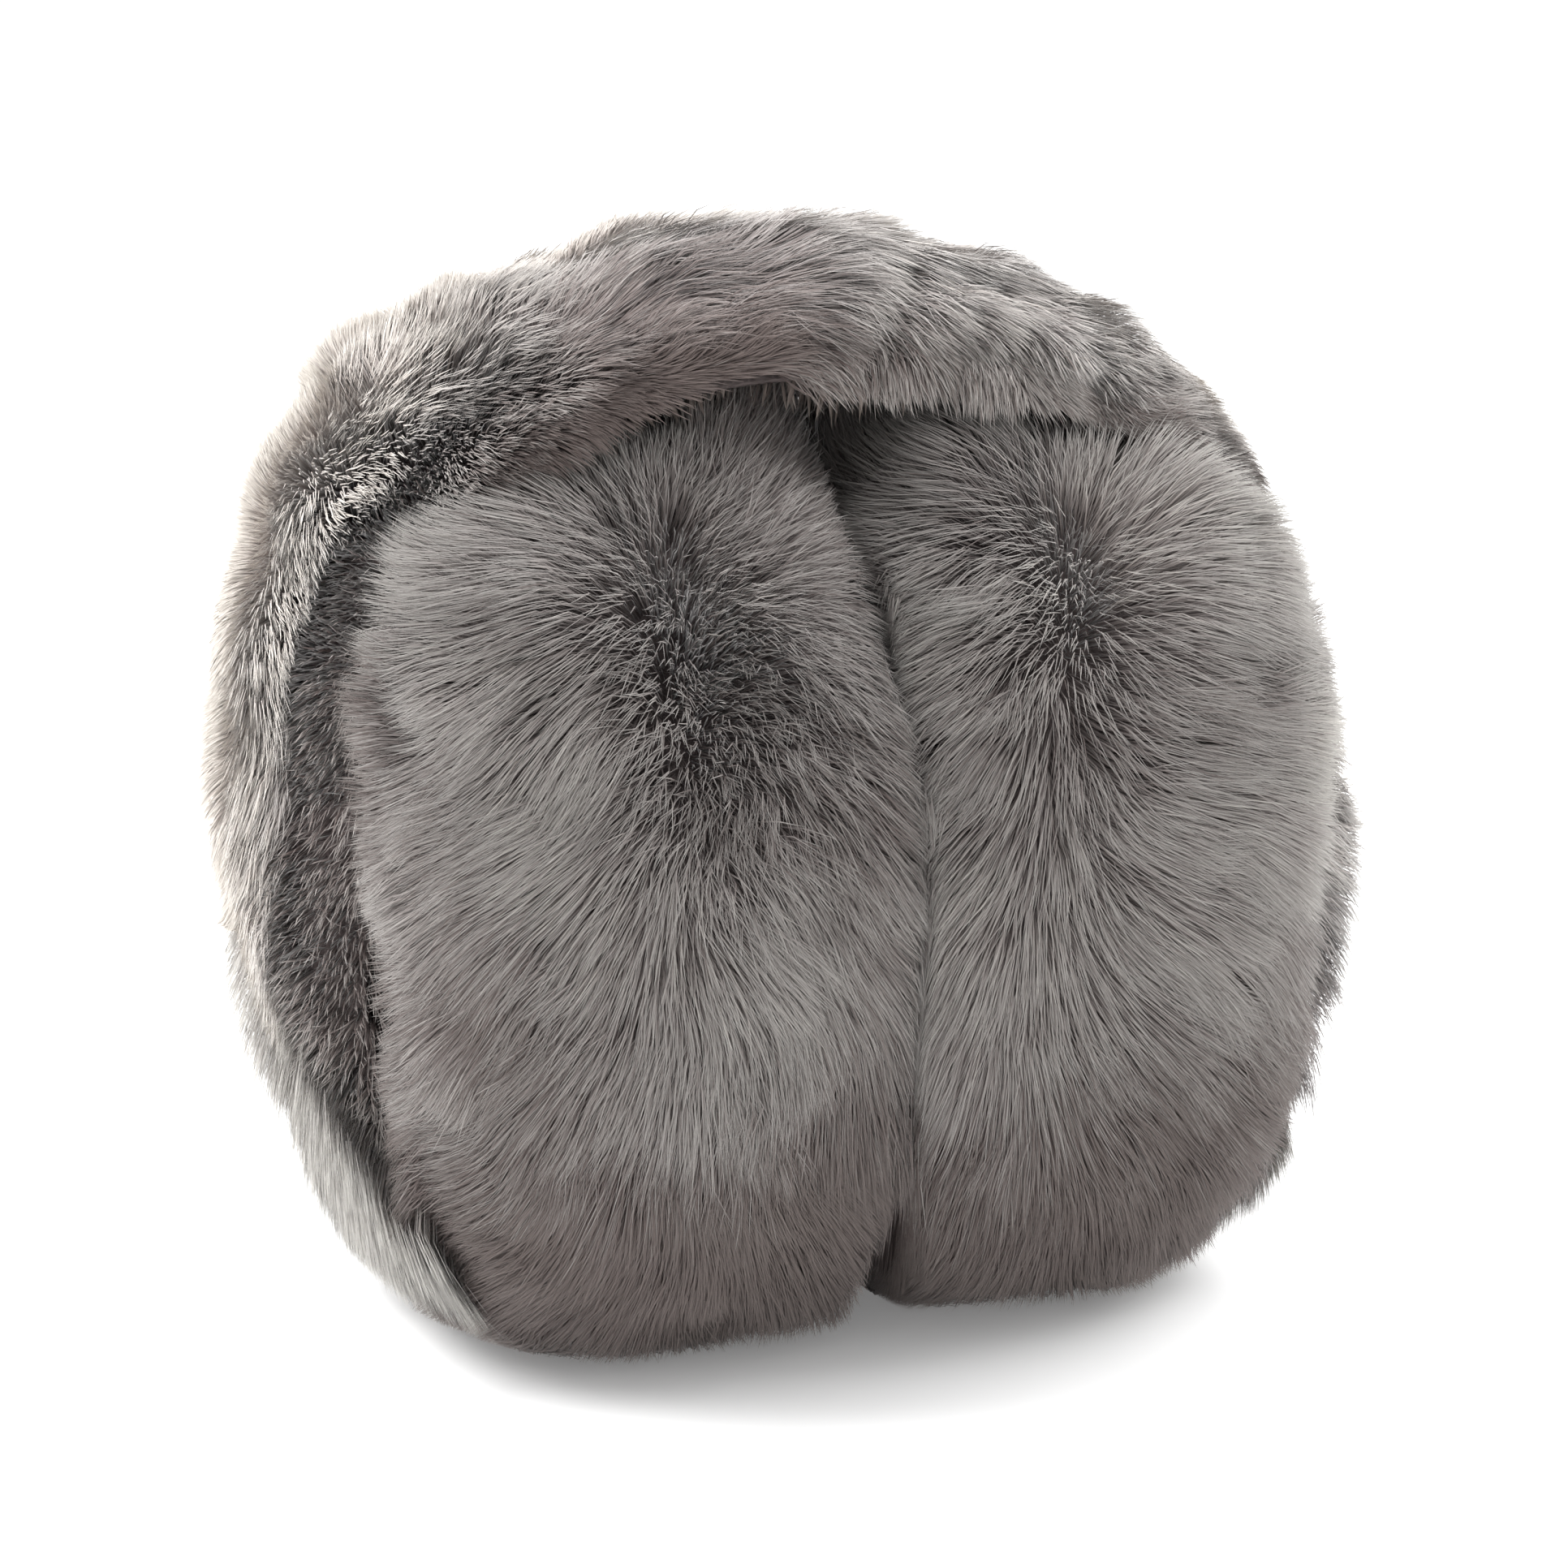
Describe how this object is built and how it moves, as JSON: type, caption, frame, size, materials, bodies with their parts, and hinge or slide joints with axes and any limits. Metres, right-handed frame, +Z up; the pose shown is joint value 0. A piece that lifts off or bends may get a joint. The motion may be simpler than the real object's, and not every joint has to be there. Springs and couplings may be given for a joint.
{
  "type": "fur earmuffs",
  "caption": "Plush fur earmuffs sprung shut, with fat round ear pads side by side under a padded, centre-stitched fur band, standing on the pads.",
  "frame": {"origin": "on the floor, under the middle of the earmuffs' box", "axes": "+X from the left ear pad to the right one, -Y the front, +Z up to the crown of the band"},
  "size_m": [0.15, 0.1167, 0.1453],
  "materials": {
    "pad_fur": "matte long fur",
    "panel_fur": "matte long fur",
    "band_fur": "matte medium fur",
    "lining_plush": "matte short pile"
  },
  "bodies": {
    "root": {"left_pad": "pad_fur", "right_pad": "pad_fur", "left_pad_panel": "panel_fur", "right_pad_panel": "panel_fur", "band_cover": "band_fur", "band_lining": "lining_plush"}
  },
  "joints": []
}
